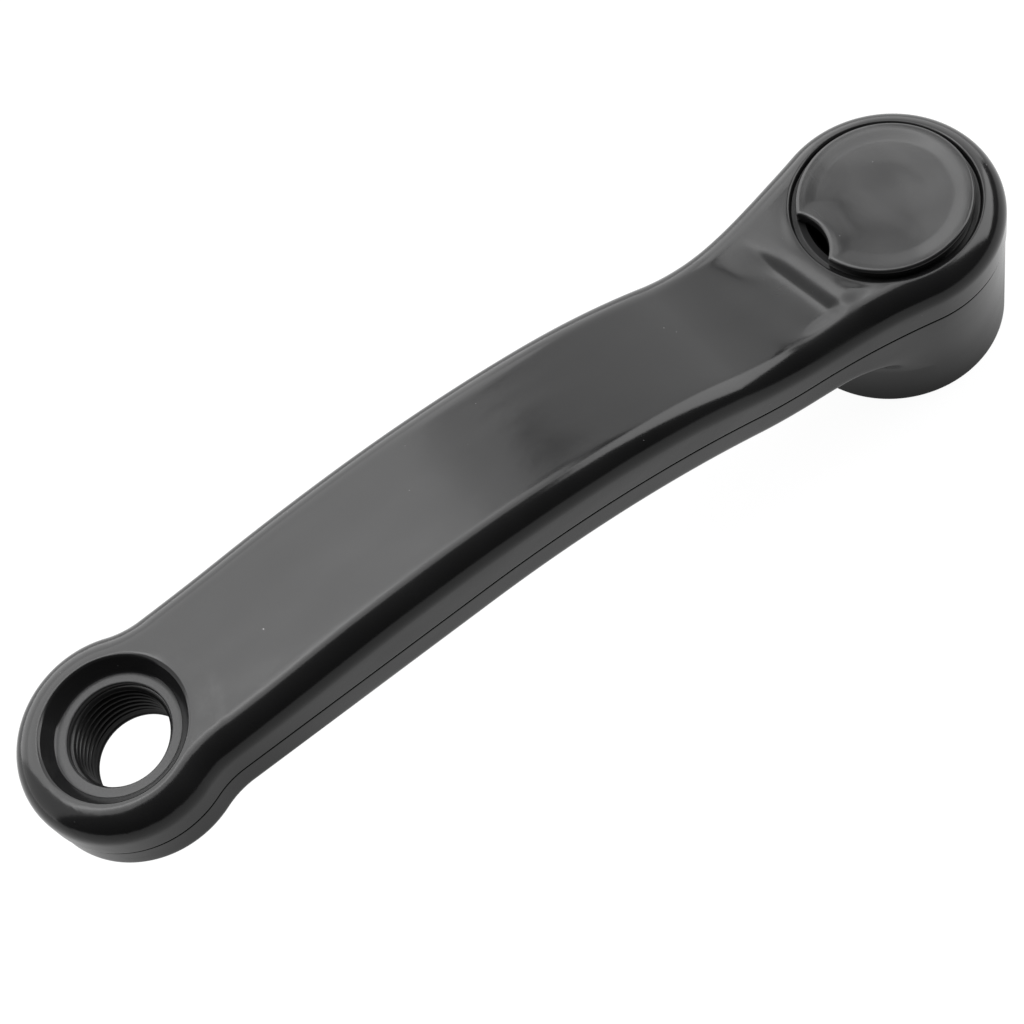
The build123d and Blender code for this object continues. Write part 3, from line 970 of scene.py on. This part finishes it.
def white_floor():
    """White paper, white to the camera; in the part's reflections it carries painted shadow under both ends.
    """
    mesh = bpy.data.meshes.new("studio_floor")
    corners = [(-1, -1), (1, -1), (1, 1), (-1, 1)]
    mesh.from_pydata([(x * FLOOR_HALF, y * FLOOR_HALF, -FLOOR_DROP) for x, y in corners], [], [(0, 1, 2, 3)])
    floor = bpy.data.objects.new("studio_floor", mesh)
    bpy.context.scene.collection.objects.link(floor)
    material = bpy.data.materials.new("white studio paper")
    material.use_nodes = True
    shader = material.node_tree.nodes["Principled BSDF"]
    shader.inputs["Base Color"].default_value = (0.05, 0.05, 0.05, 1)
    shader.inputs["Roughness"].default_value = 0.9
    shader.inputs["Specular IOR Level"].default_value = 0.0
    shader.inputs["Emission Strength"].default_value = FLOOR_GLOW
    tree = Tree(material.node_tree)
    spot = tree.add("ShaderNodeTexCoord", {}, {}, "Object")

    def shade_round(axis_x, near, far, least):
        centre = (axis_x * MM, 0.0, 0.0)
        away = tree.add("ShaderNodeVectorMath", {"operation": "DISTANCE"}, {0: spot, 1: centre}, "Value")
        return tree.between(away, near * MM, far * MM, low=least)

    # Painted shadow round the boss and the eye, which only the part's reflections see
    shade = (shade_round(axis_x=0.0, near=15.0, far=25.0, least=0.25)
             * shade_round(axis_x=CRANK_LENGTH, near=24.0, far=38.0, least=0.55))
    in_view = tree.add("ShaderNodeLightPath", {}, {}, "Is Camera Ray")
    white = in_view.maths("MAXIMUM", shade)
    colour = tree.add("ShaderNodeCombineColor", {}, {"Red": white, "Green": white, "Blue": white})
    material.node_tree.links.new(colour.socket, shader.inputs["Emission Color"])
    mesh.materials.append(material)


def soft_box(name, place, way, width, height, glow):
    """A soft box at a place, facing a way; glow is the brightness of its cloth."""
    data = bpy.data.lights.new(name, "AREA")
    data.shape = "RECTANGLE"
    data.size, data.size_y, data.energy = width, height, glow * pi * width * height
    light = bpy.data.objects.new(name, data)
    light.location = place
    light.rotation_euler = Vector(way).to_track_quat("-Z", "Y").to_euler()
    bpy.context.scene.collection.objects.link(light)


def upright_box(name, bearings, distance, heights, glow):
    """A soft box that stands upright between two bearings, in degrees, from the arm's middle."""
    middle, half = radians(sum(bearings) / 2), radians(abs(bearings[1] - bearings[0]) / 2)
    x, y = cos(middle), sin(middle)
    place = (ARM_MIDDLE_X + distance * x, distance * y, sum(heights) / 2)
    soft_box(name, place, (-x, -y, 0), 2 * distance * tan(half), heights[1] - heights[0], glow)


def ceiling_box(name, y, depth, glow):
    """A soft box that hangs over the arm and faces down."""
    soft_box(name, (CEILING_X, y, CEILING_HEIGHT), (0, 0, -1), CEILING_WIDTH, depth, glow)


def set_light():
    """Dim surroundings, a wall of soft boxes behind the arm, one at its side and two overhead."""
    scene = bpy.context.scene
    scene.view_settings.view_transform = "Standard"
    world = bpy.data.worlds.new("studio")
    world.use_nodes = True
    world.node_tree.nodes["Background"].inputs["Color"].default_value = (0.04, 0.04, 0.04, 1)
    scene.world = world
    back, edge = (-41, -112), (-112, -126)
    upright_box("back_panel", bearings=(-6, -41), distance=0.7, heights=(0.0, 1.3), glow=1.7)
    upright_box("back_softbox_foot", bearings=back, distance=0.6, heights=(0.0, 0.42), glow=4.4)
    upright_box("back_softbox", bearings=back, distance=0.6, heights=(0.42, 1.6), glow=6.6)
    upright_box("back_softbox_edge_foot", bearings=edge, distance=0.8, heights=(0.0, 0.5), glow=3.6)
    upright_box("back_softbox_edge", bearings=edge, distance=0.8, heights=(0.5, 1.05), glow=6.0)
    upright_box("back_softbox_top", bearings=edge, distance=0.8, heights=(1.05, 1.9), glow=4.0)
    upright_box("corner_panel", bearings=(-126, -165), distance=0.8, heights=(0.0, 1.1), glow=3.0)
    upright_box("side_softbox", bearings=(195, 150), distance=0.75, heights=(0.3, 1.68), glow=6.7)
    ceiling_box("ceiling_softbox", y=-0.55, depth=0.4, glow=6.2)
    ceiling_box("ceiling_softbox_edge", y=-0.19, depth=0.32, glow=4.2)


def set_camera():
    """The camera at the photo's angle, its directions made square to each other."""
    data = bpy.data.cameras.new("photo_camera")
    data.sensor_width, data.lens, data.clip_start = CAMERA_SENSOR, CAMERA_LENS, CAMERA_CLIP
    camera = bpy.data.objects.new("photo_camera", data)
    right, ahead = Vector(CAMERA_RIGHT).normalized(), Vector(CAMERA_AHEAD)
    ahead = (ahead - ahead.dot(right) * right).normalized()
    turn = Matrix((right, right.cross(ahead), -ahead)).transposed().to_4x4()
    camera.matrix_world = Matrix.Translation(Vector(CAMERA_PLACE) * MM) @ turn
    bpy.context.scene.collection.objects.link(camera)
    bpy.context.scene.camera = camera


paint = black_paint()
plastic = black_plastic()
arm = build_arm()
arm.data.materials.append(paint)
cap = grown(
    cap_tree(), "dust_cap_lid", cap_profile(), lid_radius=CAP_RADIUS * MM, bite_radius=BITE_RADIUS * MM,
    bite_reach=BITE_REACH * MM, bite_angle=BITE_ANGLE, lip=BITE_LIP * MM, seat_height=RECESS_FLOOR * MM,
    lid_height=(CAP_TOP - RECESS_FLOOR) * MM, tilt=CAP_TILT, columns=CAP_COLUMNS, finish=plastic)
threads = thread_tree()
pedal_thread = grown(
    threads, "pedal_thread_ridge", root_radius=THREAD_ROOT * MM, crest_radius=THREAD_CREST * MM,
    pitch=THREAD_PITCH * MM, turns=THREAD_TURNS, start_height=(EYE_BACK + THREAD_START) * MM,
    axis_x=CRANK_LENGTH * MM, hand=-1.0, steps_per_turn=THREAD_STEPS, finish=paint)
extractor_thread = grown(
    threads, "extractor_thread_ridge", root_radius=EXTRACTOR_ROOT * MM, crest_radius=EXTRACTOR_CREST * MM,
    pitch=EXTRACTOR_PITCH * MM, turns=EXTRACTOR_TURNS, start_height=(BORE_FLOOR + EXTRACTOR_START) * MM,
    axis_x=0.0, hand=1.0, steps_per_turn=THREAD_STEPS, finish=paint)

for piece, slot in ((arm, "black_paint"), (pedal_thread, "black_paint"),
                    (extractor_thread, "black_paint"), (cap, "black_plastic")):
    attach(piece, "root")
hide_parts("crank_arm")
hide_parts("dust_cap")
white_floor()
set_light()
set_camera()
